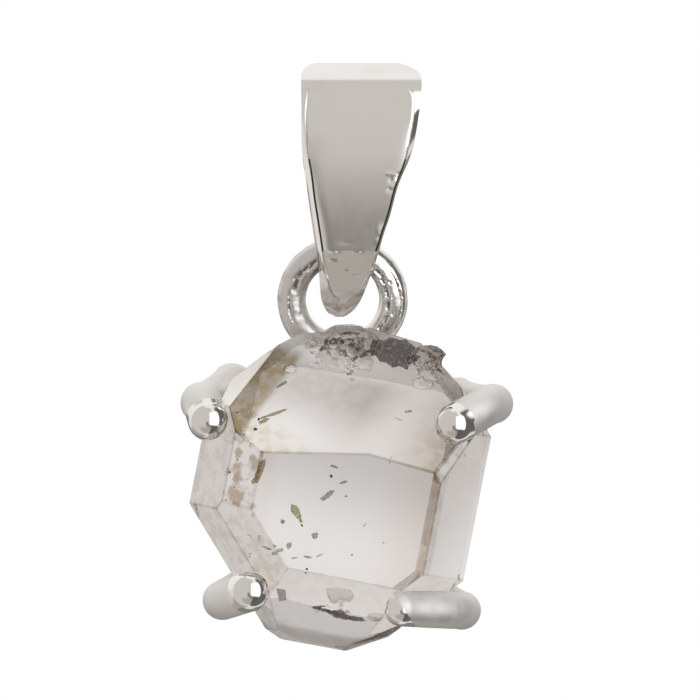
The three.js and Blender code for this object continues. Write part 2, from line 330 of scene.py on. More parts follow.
def group_tree(name, inputs, outputs):
    """An empty shader group with its named sockets, and its input and output nodes."""
    group = bpy.data.node_groups.new(name, "ShaderNodeTree")
    for label in inputs:
        group.interface.new_socket(label, in_out="INPUT", socket_type="NodeSocketFloat")
    for label, kind in outputs.items():
        group.interface.new_socket(label, in_out="OUTPUT", socket_type=kind)
    return group, group.nodes.new("NodeGroupInput"), group.nodes.new("NodeGroupOutput")


def noise_value(tree, place, scale, detail, stretch=(1, 1, 1)):
    """Noise from 0 to 1 with scale features to a unit of the place, finer where the stretch is above 1."""
    mapping = tree.nodes.new("ShaderNodeMapping")
    mapping.inputs["Scale"].default_value = stretch
    link(tree, place, mapping.inputs["Vector"])
    node = tree.nodes.new("ShaderNodeTexNoise")
    feed(tree, scale, node.inputs["Scale"])
    node.inputs["Detail"].default_value = detail
    link(tree, mapping.outputs[0], node.inputs["Vector"])
    return node.outputs["Fac"]


def object_place(tree):
    return tree.nodes.new("ShaderNodeTexCoord").outputs["Object"]


def make_silver_wear_and_shade():
    """Tarnish in patches, a cover of soot and painted shade, uneven polish and fine scratches on sterling
    silver.
    """
    group, given, out = group_tree(
        "silver wear and painted shade", ("Polish", "Tarnish", "Soot And Shade", "Patch Scale"),
        {"Color": "NodeSocketColor", "Roughness": "NodeSocketFloat", "Relief": "NodeSocketFloat"})
    place = object_place(group)
    patches = noise_value(group, place, given.outputs["Patch Scale"], detail=5.0)
    stain = times(group, step(group, patches, low=0.5, high=0.72), given.outputs["Tarnish"])
    colour = mix_colour(group, stain, SILVER, TARNISH)
    # The cover mixes in soot and painted shade
    colour = mix_colour(group, given.outputs["Soot And Shade"], colour, SOOT_AND_SHADE)
    smears = noise_value(group, place, scale=2600.0, detail=2.0, stretch=(1.0, 1.0, 0.25))
    rough = plus(group, times(group, smears, SMEAR_ROUGHNESS), EVEN_ROUGHNESS)
    rough = times(group, rough, given.outputs["Polish"])
    rough = plus(group, rough, times(group, stain, TARNISH_ROUGHNESS))
    scratches = noise_value(group, place, scale=5200.0, detail=2.0, stretch=(1.0, 1.0, 0.12))
    waves = noise_value(group, place, scale=420.0, detail=1.0)
    relief = plus(group, times(group, scratches, SCRATCH_DEPTH), waves)
    link(group, colour, out.inputs["Color"])
    link(group, rough, out.inputs["Roughness"])
    link(group, relief, out.inputs["Relief"])
    return group


silver_wear_and_shade = make_silver_wear_and_shade()


def grouped_material(name, group, settings, relief):
    """A material with the colour and relief of a shader group, its shader, and the group's node."""
    material, tree, shader = new_material(name)
    node = tree.nodes.new("ShaderNodeGroup")
    node.node_tree = group
    for label, value in settings.items():
        node.inputs[label].default_value = value
    bump = tree.nodes.new("ShaderNodeBump")
    bump.inputs["Distance"].default_value = relief
    link(tree, node.outputs["Relief"], bump.inputs["Height"])
    link(tree, node.outputs["Color"], shader.inputs["Base Color"])
    link(tree, bump.outputs[0], shader.inputs["Normal"])
    return material, shader, node


def silver_finish(name, polish, tarnish, cover, patch_scale, relief):
    """Sterling silver: polish, tarnish, cover of soot and painted shade, patches to a metre, depth of its
    marks in metres.
    """
    settings = {"Polish": polish, "Tarnish": tarnish, "Soot And Shade": cover, "Patch Scale": patch_scale}
    material, shader, wear = grouped_material(name, silver_wear_and_shade, settings, relief)
    link(material.node_tree, wear.outputs["Roughness"], shader.inputs["Roughness"])
    shader.inputs["Metallic"].default_value = 1
    return material


bail_silver = silver_finish("rolled silver", 0.12, 0.22, 0.0, 420.0, 6.0e-6)
cast_silver = silver_finish("cast silver", 0.25, 0.6, 0.05, 1500.0, 4.0e-5)
# Painted shade: a greyer, sootier casting for the loop's left half and the top of the bail's groove
painted_shade_silver = silver_finish("casting with painted shade", 0.35, 0.7, 0.22, 1500.0, 3.0e-5)
satin_silver = silver_finish("satin silver wire", 0.62, 0.25, 0.0, 500.0, 2.5e-5)
bead_silver = silver_finish("polished claw tips", 0.06, 0.2, 0.0, 900.0, 1.2e-5)
# Tarnish and painted shade: near black silver in the bail's groove and the loop's pits
tarnish_and_shade_silver = silver_finish("tarnish and painted shade in creases and pits", 0.4, 0.6, 0.8, 2400.0, 4.0e-5)

# ---- mesh helpers


def new_piece(name, points, faces, body, origin, materials, finishes=None, sharp=30):
    """A mesh piece from points in millimetres round an origin in metres, riding on a body.

    The finishes give each face its place in the list of materials."""
    mesh = bpy.data.meshes.new(name)
    mesh.from_pydata([origin + Vector(point) * MM for point in points], [], faces)
    return finish_piece(name, mesh, body, materials, finishes, sharp)


def finish_piece(name, mesh, body, materials, finishes=None, sharp=30):
    mesh.materials.clear()
    for material in materials:
        mesh.materials.append(material)
    mesh.polygons.foreach_set("use_smooth", [True] * len(mesh.polygons))
    mesh.polygons.foreach_set("material_index", finishes or [0] * len(mesh.polygons))
    mesh.validate()
    mesh.set_sharp_from_angle(angle=math.radians(sharp))
    piece = new_object(name, mesh)
    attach(piece, body)
    return piece


def smooth_path(corners, steps):
    """Centripetal spline through the corners, with a number of steps on each stretch."""
    points = [Vector(corner) for corner in corners]
    row = [2 * points[0] - points[1], *points, 2 * points[-1] - points[-2]]
    path = []
    for a, b, c, d in zip(row, row[1:], row[2:], row[3:]):
        knots = [0.0]
        for start, end in ((a, b), (b, c), (c, d)):
            knots.append(knots[-1] + math.sqrt((end - start).length))
        for i in range(steps):
            t = knots[1] + (knots[2] - knots[1]) * i / steps
            low = blend_at(a, b, knots[0], knots[1], t)
            middle = blend_at(b, c, knots[1], knots[2], t)
            high = blend_at(c, d, knots[2], knots[3], t)
            path.append(blend_at(blend_at(low, middle, knots[0], knots[2], t),
                                 blend_at(middle, high, knots[1], knots[3], t), knots[1], knots[2], t))
    path.append(points[-1])
    return path


def blend_at(first, second, start, end, at):
    return first + (second - first) * ((at - start) / (end - start))


DOME_OPENING = 0.4  # the last ring of a domed end stops this share of a step short


def sweep(path, radii, sides, cap_steps=0):
    """Points and faces of a round wire along a path: closed, or with ends domed in a number of steps."""
    closed = not cap_steps
    count = len(path)
    along = []
    for i, point in enumerate(path):
        before = path[i - 1] if i or closed else point
        after = path[(i + 1) % count] if i < count - 1 or closed else point
        along.append((after - before).normalized())
    across = along[0].orthogonal().normalized()
    stations = []
    for point, heading, radius in zip(path, along, radii):
        across = (across - heading * across.dot(heading)).normalized()
        stations.append((point, across.copy(), heading.cross(across), radius))
    if not closed:
        start = dome(stations[0], -along[0], cap_steps)[::-1]
        stations = start + stations + dome(stations[-1], along[-1], cap_steps)
    points = []
    for point, side, up, radius in stations:
        for k in range(sides):
            turn = 2 * math.pi * k / sides
            points.append(point + (side * math.cos(turn) + up * math.sin(turn)) * radius)
    faces = grid_faces(len(stations), sides, closed)
    if not closed:
        faces.append(list(range(sides))[::-1])
        faces.append([(len(stations) - 1) * sides + k for k in range(sides)])
    return points, faces


def dome(station, heading, steps):
    """Stations that round off the end of a wire."""
    point, side, up, radius = station
    rise = [math.pi / 2 * (i + 1) / (steps + DOME_OPENING) for i in range(steps)]
    return [(point + heading * radius * math.sin(a), side, up, radius * math.cos(a)) for a in rise]


def grid_faces(rows, columns, closed):
    faces = []
    for i in range(rows if closed else rows - 1):
        for k in range(columns):
            a, b = i * columns, (i + 1) % rows * columns
            faces.append([a + k, a + (k + 1) % columns, b + (k + 1) % columns, b + k])
    return faces


# ---- crystal faces

FRONT_SIDE = -0.1  # a face looks forward where its direction's Y is below this
PRESS_ROUNDS = 3


def face_plane(azimuth, rise, distance):
    azimuth, rise = math.radians(azimuth), math.radians(rise)
    out, up = math.cos(rise), math.sin(rise)
    normal = Vector((math.sin(azimuth) * out, -math.cos(azimuth) * out, up))
    return Matrix.Rotation(math.radians(CRYSTAL_LEAN), 3, "Y") @ normal, distance


PLANES = {name: face_plane(*face) for name, face in CRYSTAL_FACES.items()}


def resting_depth(x, z, radius):
    """Depth at which a ball over (x, z) rests on the front of the stone."""
    return max((radius + distance - normal.x * x - normal.z * z) / normal.y
               for normal, distance in PLANES.values() if normal.y < FRONT_SIDE)


def pressed_out(point, gap):
    """A point that is kept clear of the stone by the gap."""
    for _ in range(PRESS_ROUNDS):
        normal, depth = max(((n, n.dot(point) - d) for n, d in PLANES.values()), key=lambda row: row[1])
        if depth >= gap:
            break
        point = point + normal * (gap - depth)
    return point


# ---- stone and inclusion materials

QUARTZ_IOR = 1.544
CLEAR = (0.965, 0.955, 0.945)
SMOKE = (0.42, 0.36, 0.32)
ON_FACE = 0.05  # how close to a face's plane, in mm, its stains reach
THINNEST = 0.5  # share of a mineral's cover that is left where it is thin

UPPER_FRONT = ("upper_front_left", "upper_front_right")

# Faces; the neighbours that a stain spreads from, each with the heights in mm above that neighbour's
# plane where the stain begins and is full (without one it covers the faces); its tone; how broken it is
STAINS = [
    (("front",), [("upper_front_right", -2.6, -0.05)], (0.70, 0.69, 0.685), 0.0),
    (("front",), [("right", -2.4, -0.1)], (0.92, 0.88, 0.85), 0.0),
    (("front",), [("right", -0.3, -0.2)], (0.86, 0.80, 0.74), 0.4),
    (("front",), [("stained_band", -0.5, -0.1)], (0.93, 0.90, 0.87), 0.5),
    (UPPER_FRONT, [("ridge_right", -3.6, -1.0)], (0.84, 0.82, 0.80), 0.1),
    (UPPER_FRONT, [("ridge_top", -5.2, -3.0), ("ridge_top", -1.5, -2.4), ("right", -2.3, -3.9)],
     (0.64, 0.625, 0.61), 0.1),
    (UPPER_FRONT, [("right", -6.2, -3.2)], (0.86, 0.85, 0.84), 0.0),
    (UPPER_FRONT, [("right", -3.2, -0.4)], (0.80, 0.77, 0.75), 0.1),
    (("upper_front_left",), [("upper_left", -0.84, -0.6), ("ridge_top", -1.4, -2.0)],
     (0.52, 0.43, 0.27), 0.15),
    (("upper_front_left",), [("stained_band", -1.3, -0.4)], (0.80, 0.74, 0.64), 0.6),
    (("upper_front_right",), [("upper_pyramid", -0.9, -0.1)], (0.86, 0.80, 0.73), 0.6),
    (("upper_left",), [("ridge_left", -3.4, -0.5)], (0.74, 0.71, 0.62), 0.2),
    (("upper_pyramid",), [], (0.6, 0.57, 0.53), 0.3),
    (("upper_right",), [], (0.56, 0.53, 0.48), 0.3),
    (("right",), [("upper_pyramid", -3.2, -0.2)], (0.74, 0.72, 0.70), 0.1),
    (("right",), [("front", -0.5, -0.3)], (0.82, 0.79, 0.75), 0.4),
    (("stained_band",), [], (0.55, 0.46, 0.38), 0.65),
    (("lower_pyramid",), [], (0.78, 0.72, 0.67), 0.5),
    (("left",), [("front", -4.0, -3.9)], (0.66, 0.62, 0.59), 0.2),
    (("lower_left",), [("lower_front", -5.0, -4.0)], (0.76, 0.72, 0.68), 0.4),
    (("lower_front",), [("front", -1.4, -0.4)], (0.94, 0.90, 0.87), 0.6),
    (("lower_right",), [("lower_front", -5.0, -4.0)], (0.86, 0.82, 0.77), 0.4),
    (("blunt_right",), [("lower_front", -5.0, -4.0)], (0.6, 0.57, 0.54), 0.5),
    (("ridge_top", "ridge_right"), [], (0.72, 0.62, 0.50), 0.85),
]


def vector(tree, operation, first, second):
    node = tree.nodes.new("ShaderNodeVectorMath")
    node.operation = operation
    feed(tree, first, node.inputs[0])
    feed(tree, second, node.inputs[1])
    return node


def stone_place(tree):
    """Place in millimetres from the crystal's centre."""
    moved = vector(tree, "SUBTRACT", object_place(tree), STONE)
    return vector(tree, "MULTIPLY", moved.outputs[0], (1 / MM, 1 / MM, 1 / MM)).outputs[0]


def above_face(tree, place, face):
    """Height above the plane of a face, below zero inside the crystal."""
    normal, distance = PLANES[face]
    along = vector(tree, "DOT_PRODUCT", place, normal).outputs["Value"]
    return number(tree, "SUBTRACT", along, distance)


def make_stone_tint():
    """The stains on the crystal's faces, for clear and for broken quartz."""
    group, given, out = group_tree(
        "stone tint", ("Smoke", "Broken"), {"Color": "NodeSocketColor", "Relief": "NodeSocketFloat"})
    place = stone_place(group)
    flecks = step(group, noise_value(group, place, scale=2.0, detail=6.0), low=0.42, high=0.6)
    colour = mix_colour(group, given.outputs["Smoke"], CLEAR, SMOKE)
    for faces, sources, tone, broken in STAINS:
        spread = number(group, "MULTIPLY_ADD", flecks, broken, 1 - broken)
        for source, begin, full in sources:
            spread = times(group, spread, step(group, above_face(group, place, source), begin, full))
        height = above_face(group, place, faces[0])
        for face in faces[1:]:
            height = number(group, "MAXIMUM", height, above_face(group, place, face))
        on_face = step(group, height, -ON_FACE, -0.5 * ON_FACE)
        # Light that enters the stone takes the square root of its tint, so the tone is squared
        stain = [part ** 2 for part in tone]
        colour = mix_colour(group, times(group, spread, on_face), colour, stain, "MULTIPLY")
    growth_lines = noise_value(group, place, scale=0.5, detail=2.0, stretch=(1.0, 1.0, 9.0))
    shells = number(group, "SUBTRACT", noise_value(group, place, scale=2.2, detail=2.0), growth_lines)
    relief = plus(group, growth_lines, times(group, shells, given.outputs["Broken"]))
    link(group, colour, out.inputs["Color"])
    link(group, relief, out.inputs["Relief"])
    return group


stone_tint = make_stone_tint()


def quartz_finish(name, roughness, smoke, broken, relief):
    """Quartz: how smoky it is, growth lines (0) or the shells of a break (1), and their depth in metres."""
    material, shader, _ = grouped_material(name, stone_tint, {"Smoke": smoke, "Broken": broken}, relief)
    shader.inputs["Roughness"].default_value = roughness
    shader.inputs["Transmission Weight"].default_value = 1
    shader.inputs["IOR"].default_value = QUARTZ_IOR
    return material


clear_quartz = quartz_finish("clear quartz", 0.0, 0.0, 0.0, 2.5e-6)
broken_quartz = quartz_finish("broken quartz", 0.22, 0.75, 1.0, 8.0e-5)
smoky_quartz = quartz_finish("smoky quartz", 0.1, 0.65, 1.0, 6.0e-5)
etched_quartz = quartz_finish("etched quartz", 0.8, 0.0, 1.0, 2.0e-5)


def inclusion_finish(name, colour, second, alpha, roughness, metallic=0.0):
    """A mineral or film inside the stone, mottled between two colours and more or less see-through."""
    material, tree, shader = new_material(name)
    patches = noise_value(tree, stone_place(tree), scale=6.0, detail=4.0)
    mottled = mix_colour(tree, step(tree, patches, low=0.35, high=0.65), colour, second)
    thick = step(tree, patches, low=0.3, high=0.6)
    cover = number(tree, "MULTIPLY_ADD", thick, (1 - THINNEST) * alpha, THINNEST * alpha)
    link(tree, mottled, shader.inputs["Base Color"])
    link(tree, cover, shader.inputs["Alpha"])
    shader.inputs["Roughness"].default_value = roughness
    shader.inputs["Metallic"].default_value = metallic
    return material


carbon = inclusion_finish("carbon specks", (0.02, 0.018, 0.016), (0.09, 0.075, 0.06), 0.95, 0.45)
grey_fluid = inclusion_finish("fluid pockets", (0.34, 0.32, 0.30), (0.6, 0.58, 0.55), 0.6, 0.3)
iron_stain = inclusion_finish("iron stained flecks", (0.62, 0.56, 0.20), (0.85, 0.79, 0.48), 0.8, 0.5)
# Dark films, and painted shade on the flat dark sheets
dark_film_and_shade = inclusion_finish("dark films and painted shade", (0.11, 0.095, 0.095), (0.27, 0.21, 0.205), 0.8, 0.35)
crack_shine = inclusion_finish("shine of inner cracks", (0.95, 0.93, 0.9), (0.8, 0.72, 0.64), 1.0, 0.12, 1.0)

# ---- back frame

FRAME_DEPTH = 2.72
FRAME_WIRE = 0.4
FRAME_CORNER = 1.2
FRAME_ROOM = 0.15
FRAME_FACES = (0.1, 0.9)  # the frame follows the faces whose direction's Y is between these


def frame_sides():
    """Outward direction and reach of each side of the frame's wire, from +X towards +Z."""
    sides = []
    for normal, distance in PLANES.values():
        if FRAME_FACES[0] < normal.y < FRAME_FACES[1]:
            across = math.hypot(normal.x, normal.z)
            reach = (FRAME_WIRE + SOLDER_GAP + distance - normal.y * FRAME_DEPTH) / across + FRAME_ROOM
            sides.append((normal.x / across, normal.z / across, reach))
    return sorted(sides, key=lambda side: math.atan2(side[1], side[0]))


def frame_radius(angle):
    facing = [(reach, x * math.cos(angle) + z * math.sin(angle)) for x, z, reach in frame_sides()]
    return min(reach / share for reach, share in facing if share > 0)


def frame_path(corner_steps, side_steps):
    sides = frame_sides()
    corners = []
    for (x, z, reach), (x2, z2, reach2) in zip(sides, sides[1:] + sides[:1]):
        turn = x * z2 - z * x2
        across, up = (reach * z2 - reach2 * z) / turn, (reach2 * x - reach * x2) / turn
        corners.append(Vector((across, FRAME_DEPTH, up)))
    path = []
    for before, corner, after in zip(corners[-1:] + corners, corners, corners[1:] + corners[:1]):
        start = corner.lerp(before, FRAME_CORNER / (corner - before).length)
        end = corner.lerp(after, FRAME_CORNER / (corner - after).length)
        for i in range(corner_steps + 1):
            t = i / corner_steps
            path.append(start.lerp(corner, t).lerp(corner.lerp(end, t), t))
        next_start = after.lerp(corner, FRAME_CORNER / (corner - after).length)
        path += [end.lerp(next_start, i / side_steps) for i in range(1, side_steps)]
    return path


def make_back_frame():
    path = frame_path(corner_steps=12, side_steps=10)
    points, faces = sweep(path, [FRAME_WIRE] * len(path), sides=20)
    piece = new_piece("frame_wire", points, faces, "setting", STONE, [satin_silver])
    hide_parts("back_frame")


# ---- hanging loop

LOOP_STEPS = 420
LOOP_SIDES = 96
CAST_RELIEF = 0.02
CAST_SKIN = 0.575  # radius of the cast wire at its fullest
CAST_LEVEL = 0.4  # of the noise, where the cast surface is at that radius
PIT_EDGE = 0.55  # a face gets tarnish and painted shade where a pit is deeper than this share
PIT_SQUARENESS = 4
PIT_DEPTHS = (0.35, 1.1)  # share of a pit's depth in smooth metal, and what the grain adds

# Noises on the cast wire: features to a millimetre, how the octaves fade, their step, and their number
GRAIN_NOISE = (7, 0.8, 2.0, 4)
CAST_NOISE = (1.6, 1.0, 2.0, 3)

# Pits along the casting: angle round the ring, distance from the wire's middle line, length, width, depth
LOOP_PITS = [
    (124, -0.02, 0.16, 0.09, 0.10), (130, -0.06, 0.22, 0.12, 0.12), (137, -0.02, 0.2, 0.08, 0.1),
    (147, 0.04, 0.26, 0.13, 0.14), (153, 0.0, 0.18, 0.1, 0.1), (160, -0.05, 0.26, 0.13, 0.13),
    (174, 0.12, 0.3, 0.04, 0.08), (183, 0.12, 0.42, 0.045, 0.09), (193, 0.1, 0.34, 0.04, 0.08),
    (39, -0.16, 0.3, 0.09, 0.12), (28, -0.22, 0.3, 0.06, 0.08), (14, -0.26, 0.36, 0.08, 0.1),
    (-4, -0.24, 0.3, 0.09, 0.1), (-20, -0.2, 0.3, 0.07, 0.08), (-34, -0.24, 0.2, 0.07, 0.08),
    (20, 0.34, 0.5, 0.035, 0.05), (0, 0.35, 0.6, 0.035, 0.06), (-18, 0.33, 0.4, 0.03, 0.05),
    (24, 0.04, 0.08, 0.05, 0.04), (8, -0.04, 0.14, 0.03, 0.04), (-12, 0.02, 0.1, 0.05, 0.04),
]


def fractal(place, scale, *octaves):
    return noise.fractal(place * scale, *octaves)


def pit_depth(turn, out, grain):
    """Depth of the pits at an angle round the ring and a distance out from the wire's middle line."""
    deepest = share = 0.0
    for angle, centre, length, width, depth in LOOP_PITS:
        along = math.remainder(turn - math.radians(angle), 2 * math.pi) * LOOP_RADIUS
        edge = (along / length) ** PIT_SQUARENESS + ((out - centre) / width) ** PIT_SQUARENESS
        shape = math.exp(-edge) * (PIT_DEPTHS[0] + PIT_DEPTHS[1] * grain)
        if shape * depth > deepest:
            deepest, share = shape * depth, shape
    return deepest, share


def make_loop():
    tilt = Matrix.Rotation(LOOP_TILT, 3, "X")
    points, shares = [], []
    for i in range(LOOP_STEPS):
        turn = 2 * math.pi * i / LOOP_STEPS
        outward = Vector((math.cos(turn), 0, math.sin(turn)))
        for k in range(LOOP_SIDES):
            round_wire = 2 * math.pi * k / LOOP_SIDES
            heading = outward * math.cos(round_wire) - Vector((0, math.sin(round_wire), 0))
            spot = outward * LOOP_RADIUS + heading * LOOP_WIRE
            grain = 0.5 + 0.5 * fractal(spot, *GRAIN_NOISE)
            depth, share = 0.0, 0.0
            if math.sin(round_wire) > 0:
                depth, share = pit_depth(turn, LOOP_WIRE * math.cos(round_wire), grain)
            radius = CAST_SKIN - depth + CAST_RELIEF * (fractal(spot, *CAST_NOISE) - CAST_LEVEL)
            spot = LOOP_CENTRE + tilt @ (outward * LOOP_RADIUS + heading * min(radius, CAST_SKIN))
            points.append(pressed_out(spot, SOLDER_GAP))
            shares.append(share)
    faces = grid_faces(LOOP_STEPS, LOOP_SIDES, closed=True)
    plain, pitted, painted_grey = range(3)
    finishes = []
    for face in faces:
        # Painted shade: faces on the left half of the ring take the greyer finish; faces deep in a pit take
        # tarnish and painted shade
        side = painted_grey if points[face[0]].x < LOOP_CENTRE.x else plain
        finishes.append(pitted if min(shares[corner] for corner in face) > PIT_EDGE else side)
    piece = new_piece("loop_ring", points, faces, "setting", STONE,
                      [cast_silver, tarnish_and_shade_silver, painted_shade_silver], finishes, sharp=50)
    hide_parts("hanging_loop")


# ---- claws

CLAW_WIRE = 0.78
CLAW_TIP = 0.82  # radius of the wire's end
CLAW_SEATING = 0.8
CLAW_RISE = 1.1
CLAW_BEND = 0.4
CLAW_ROOT = 0.95  # the solder flares the wire's root out to this radius
FLARE_FADE = 5  # and is gone after the wire's length divided by this
TIP_SWELL = 3  # power by which the wire goes over into its tip
CLAW_GAP = 0.02
CLAW_BALL = 0.92  # the tip is polished within this reach of its middle

# Angle of the root on the frame, where the wire rounds the stone's edge, and the tip; where it differs, the
# tip's radius, the way its polished side faces, and how far from its middle that side starts
CLAWS = {
    "claw_top_left": (138, (-5.58, 3.36), (-5.34, 2.68)),
    "claw_top_right": (36, (5.88, 3.28), (4.48, 2.52)),
    "claw_bottom_left": (227, (-4.64, -4.48), (-3.68, -4.12)),
    "claw_bottom_right": (309, (4.56, -4.9), (2.38, -4.8), 0.71, (-0.83, 0, -0.56), -0.08),
}


def make_claw(node, root, shoulder, tip, tip_radius=CLAW_TIP, polished_way=(0, 0, 0), polished_from=-1.0):
    angle = math.radians(root)
    start = frame_radius(angle) + FRAME_WIRE / 2
    tip_depth = resting_depth(*tip, tip_radius * CLAW_SEATING)
    path = smooth_path([
        (start * math.cos(angle), FRAME_DEPTH, start * math.sin(angle)),
        (shoulder[0], FRAME_DEPTH - CLAW_RISE, shoulder[1]),
        (shoulder[0], tip_depth * CLAW_BEND, shoulder[1]),
        (tip[0], tip_depth, tip[1]),
    ], steps=22)
    radii = []
    for i in range(len(path)):
        t = i / (len(path) - 1)
        root_flare = (CLAW_ROOT - CLAW_WIRE) * max(0.0, 1 - FLARE_FADE * t) ** 2
        radii.append(CLAW_WIRE + root_flare + (tip_radius - CLAW_WIRE) * t ** TIP_SWELL)
    points, faces = sweep(path, radii, sides=72, cap_steps=18)
    end = path[-1]
    finishes = []
    for face in faces:
        offset = points[face[0]] - end
        finishes.append(int(offset.length < CLAW_BALL and offset.dot(Vector(polished_way)) > polished_from))
    points = [pressed_out(point, CLAW_GAP) for point in points]
    piece = new_piece(node + "_wire", points, faces, "setting", STONE,
                      [satin_silver, bead_silver], finishes)
    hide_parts(node)


# ---- bail

BAIL_TOP = 7.52
BAIL_BEND = 6.4
BAIL_HALF_DEPTH = 2.2
BAIL_WALL = 0.6
CREASE_HALF_DEPTH = 1.8
CHIN_HEIGHT = -2.0
CHIN_HALF_DEPTH = 0.8
BAIL_TIP = -2.68
TIP_HALF_DEPTH = 0.42
EYE_RADIUS = 1.25
EYE_HEIGHT = 0.02
PLATE_DOME = 0.08
BAND_DEPTH = 0.48  # how far the bevelled bands at the sides fall back
BAND_ROUNDING = 0.84  # how much of a quarter turn a wide band rounds through
WIDE_BAND = (0.35, 0.65)  # a band rounds off between these widths
ROUNDED_DEPTH = 0.6  # a rounded band's depth, as a share of a straight one's
NARROW_BAND = 0.12  # a narrower band is shallower
BAND_HOLLOW = 1.1  # power that hollows a straight band a little
BAND_SINK = 0.02  # the groove takes the whole band this much lower
LEAST_BAND = (0.06, 0.2)  # least width of a band: in mm, or as a share of half the plate's width
TONGUE_TOP = -1.1  # below this height the bands flatten into the tongue
TONGUE_BAND = 0.3  # share of their depth that is left there
BEND_START = 6.6  # the bands have faded out at this height, over the length after it
BEND_FADE = 4.2
GROOVE_WIDTH = 0.08  # groove between the flat face and the bands
GROOVE_DEPTH = 0.07
GROOVE_BOTTOMS = (0.02, 0.06)  # sideways from the left and the right edge of the flat face
FACE_STEPS = 30
INSIDE_STEPS = 12
LIP_TOP = -1.3  # the lip round the tongue is cast below this height
INSIDE_EDGE = 0.17  # rounding of the edges of the opening
INSIDE_BEVEL = 0.3 * INSIDE_EDGE
GROOVE_FOOT = -0.1  # heights between which the groove is darkened with tarnish and painted shade
GROOVE_HEAD = 3.6
GROOVE_END = 6.6  # above that, the groove is painted a lighter grey shade up to this height
MARGIN = 0.45  # the face rolls off a little over this width at its sides
MARGIN_SHARE = 0.45  # the margin is at most this share of a narrow face
DENTED_SHARE = 0.5  # the front of the wall that dents go into
GROOVED_CORNERS = 3  # fewest corners in the groove that give a small face its tarnish and painted shade
BAIL_SECTIONS = [  # height, sideways centre from the loop's centre, full width
    (-2.68, -0.18, 0.52), (-2.4, -0.11, 1.12), (-1.96, -0.05, 1.6), (-1.2, 0.07, 1.98),
    (-0.52, 0.17, 2.3), (0.64, 0.24, 2.83), (1.36, 0.31, 3.18), (2.64, 0.4, 3.7),
    (3.96, 0.58, 4.4), (5.96, 0.74, 4.77), (6.92, 0.75, 4.82), (7.07, 0.72, 4.72), (7.2, 0.69, 4.54),
    (7.31, 0.64, 4.26), (7.42, 0.6, 3.88), (7.49, 0.57, 3.5), (7.52, 0.55, 3.1),
]

# Height; left and right edge of the flat face from the loop's centre; groove; left and right roll-off
FACE_EDGES = [
    (-2.3, 0.0, 0.0, 0.0, 0.0, 0.0), (-2.0, -0.05, 0.03, 0.3, 0.0, 0.0), (-1.9, -0.22, 0.22, 0.6, 0.0, 0.0),
    (-1.75, -0.36, 0.46, 0.8, 0.0, 0.0), (-1.55, -0.45, 0.68, 0.9, 0.005, 0.0),
    (-1.21, -0.54, 0.9, 1.0, 0.01, 0.0), (-0.87, -0.61, 1.02, 1.0, 0.02, 0.0),
    (-0.49, -0.69, 1.12, 1.0, 0.03, 0.01), (0.35, -0.81, 1.44, 1.0, 0.035, 0.0),
    (1.07, -0.92, 1.68, 1.0, 0.035, 0.0), (2.03, -1.07, 1.97, 1.0, 0.03, 0.0),
    (2.99, -1.19, 2.26, 0.9, 0.025, 0.006), (3.71, -1.31, 2.5, 0.7, 0.02, 0.02),
    (4.67, -1.4, 2.68, 0.5, 0.015, 0.02), (5.39, -1.43, 2.8, 0.4, 0.01, 0.008),
    (6.1, -1.38, 2.8, 0.3, 0.0, 0.0), (6.35, -1.36, 2.68, 0.15, 0.0, 0.0),
    (6.59, -1.2, 2.48, 0.0, 0.0, 0.0), (6.71, -0.98, 2.1, 0.0, 0.0, 0.0), (6.9, -0.5, 1.7, 0.0, 0.0, 0.0),
]

# Small dents (positive) and bumps in the front: sideways place, height, width, tallness and depth
DENTS = [
    (-0.32, -0.13, 0.24, 0.08, -0.03), (0.64, -0.13, 0.2, 0.07, -0.026), (-0.38, -0.49, 0.22, 0.08, -0.018),
    (-0.34, -0.32, 0.3, 0.08, 0.012), (0.22, -0.77, 0.2, 0.08, 0.02), (0.5, -1.03, 0.4, 0.08, 0.018),
    (0.0, -1.12, 0.3, 0.09, 0.015), (-0.1, -1.4, 0.3, 0.2, 0.012), (2.3, 3.15, 0.12, 0.12, -0.015),
    (2.1, 3.0, 0.14, 0.1, -0.012), (1.95, 2.75, 0.12, 0.16, 0.012), (2.05, 2.5, 0.12, 0.12, -0.012),
    (2.2, 2.8, 0.12, 0.2, 0.018), (1.85, 3.05, 0.1, 0.08, -0.01), (1.9, 2.4, 0.12, 0.12, 0.012),
    (1.55, 0.75, 0.14, 0.3, -0.02), (1.45, 0.35, 0.14, 0.2, -0.015), (-1.1, 6.3, 0.24, 0.2, 0.006),
    (-0.6, 6.45, 0.3, 0.14, 0.006), (0.1, 0.3, 0.4, 0.14, 0.004), (2.3, 7.2, 0.3, 0.1, 0.03),
    (2.6, 7.1, 0.2, 0.08, 0.02), (-1.0, 6.95, 0.25, 0.12, 0.01), (-0.7, 7.1, 0.2, 0.08, 0.01),
]


def smooth_value(table, at, column):
    """A column of a table at a height, on a smooth curve through its rows."""
    k = max(0, min(len(table) - 2, next((i for i, row in enumerate(table) if row[0] >= at), len(table)) - 1))
    low, high = table[k], table[k + 1]
    span = high[0] - low[0]

    def slope(i):
        before, after = table[max(i - 1, 0)], table[min(i + 1, len(table) - 1)]
        return (after[column] - before[column]) / (after[0] - before[0])

    t = max(0.0, min(1.0, (at - low[0]) / span))
    return ((2 * t ** 3 - 3 * t ** 2 + 1) * low[column] + (t ** 3 - 2 * t ** 2 + t) * span * slope(k)
            + (3 * t ** 2 - 2 * t ** 3) * high[column] + (t ** 3 - t ** 2) * span * slope(k + 1))


def plate_span(height):
    """Sideways middle of the plate and half its width."""
    return smooth_value(BAIL_SECTIONS, height, 1), smooth_value(BAIL_SECTIONS, height, 2) / 2


def even_steps(steps):
    """Values from 0 to 1 in even steps, with both ends."""
    return [i / steps for i in range(steps + 1)]


